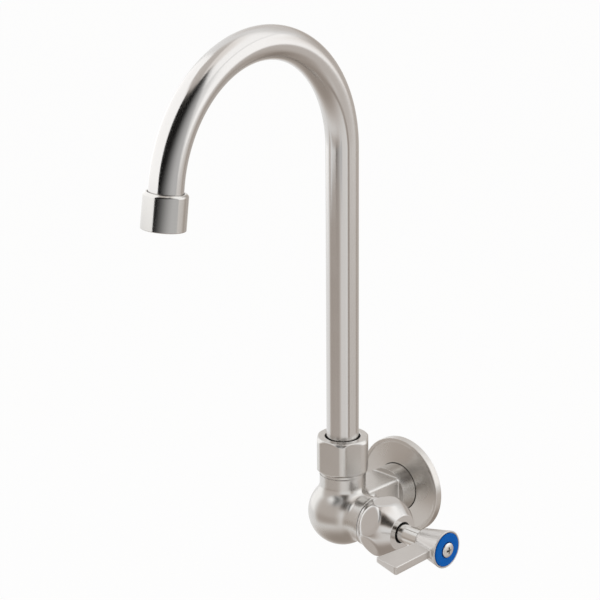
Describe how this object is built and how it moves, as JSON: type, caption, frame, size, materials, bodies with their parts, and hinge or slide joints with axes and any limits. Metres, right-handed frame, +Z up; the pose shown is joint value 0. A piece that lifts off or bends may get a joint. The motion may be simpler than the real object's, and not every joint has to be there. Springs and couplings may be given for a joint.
{
  "type": "commercial wall faucet",
  "caption": "Wall tap with a round flange, a ball-shaped valve body, a swivelling gooseneck spout held by a union nut, and a side lever that turns a ceramic quarter-turn valve.",
  "frame": {"origin": "centre of the wall flange's back face, on the wall's surface", "axes": "+Y into the wall, +Z up, +X along the spindle towards the lever, so that the spout reaches out along -Y"},
  "size_m": [0.1132, 0.2287, 0.333],
  "materials": {
    "brushed_stainless": "satin brushed stainless steel, warm grey",
    "turned_stainless": "fine turned stainless steel",
    "black_rubber": "moulded black rubber",
    "white_nylon": "natural nylon",
    "alumina": "lapped alumina ceramic",
    "grey_plastic": "moulded acetal",
    "blue_enamel": "glossy blue"
  },
  "bodies": {
    "tap_body": {"wall_flange": "turned_stainless", "wall_gasket": "black_rubber", "flange_o_ring": "black_rubber", "valve_body": "brushed_stainless", "swivel_nut": "brushed_stainless", "nut_wiper_ring": "black_rubber", "spout_thrust_washer": "white_nylon", "bonnet_gasket": "black_rubber", "bonnet": "brushed_stainless", "gland_ring": "black_rubber", "seat_seal": "black_rubber", "fixed_ceramic_disc": "alumina", "spindle_thrust_washer": "white_nylon"},
    "handle": {"moving_ceramic_disc": "alumina", "spindle": "turned_stainless", "spindle_o_ring_1": "black_rubber", "spindle_o_ring_2": "black_rubber", "lever_handle": "brushed_stainless", "index_disc": "blue_enamel", "handle_screw": "turned_stainless"},
    "spout": {"spout_tail": "turned_stainless", "tail_o_ring_1": "black_rubber", "tail_o_ring_2": "black_rubber", "spout_tube": "brushed_stainless", "nozzle_collar": "brushed_stainless", "aerator_washer": "black_rubber", "aerator_body": "grey_plastic", "aerator_screen": "turned_stainless", "flow_straightener": "grey_plastic"}
  },
  "joints": [
    {"name": "spout_swivel", "type": "hinge", "parent": "tap_body", "child": "spout", "pos_m": [0, -0.0544, 0.2], "axis": [0, 0, 1], "range_deg": [-109, 101]},
    {"name": "handle_turn", "type": "hinge", "parent": "tap_body", "child": "handle", "pos_m": [0.07, -0.0544, 0], "axis": [1, 0, 0], "range_deg": [0, 90]}
  ]
}
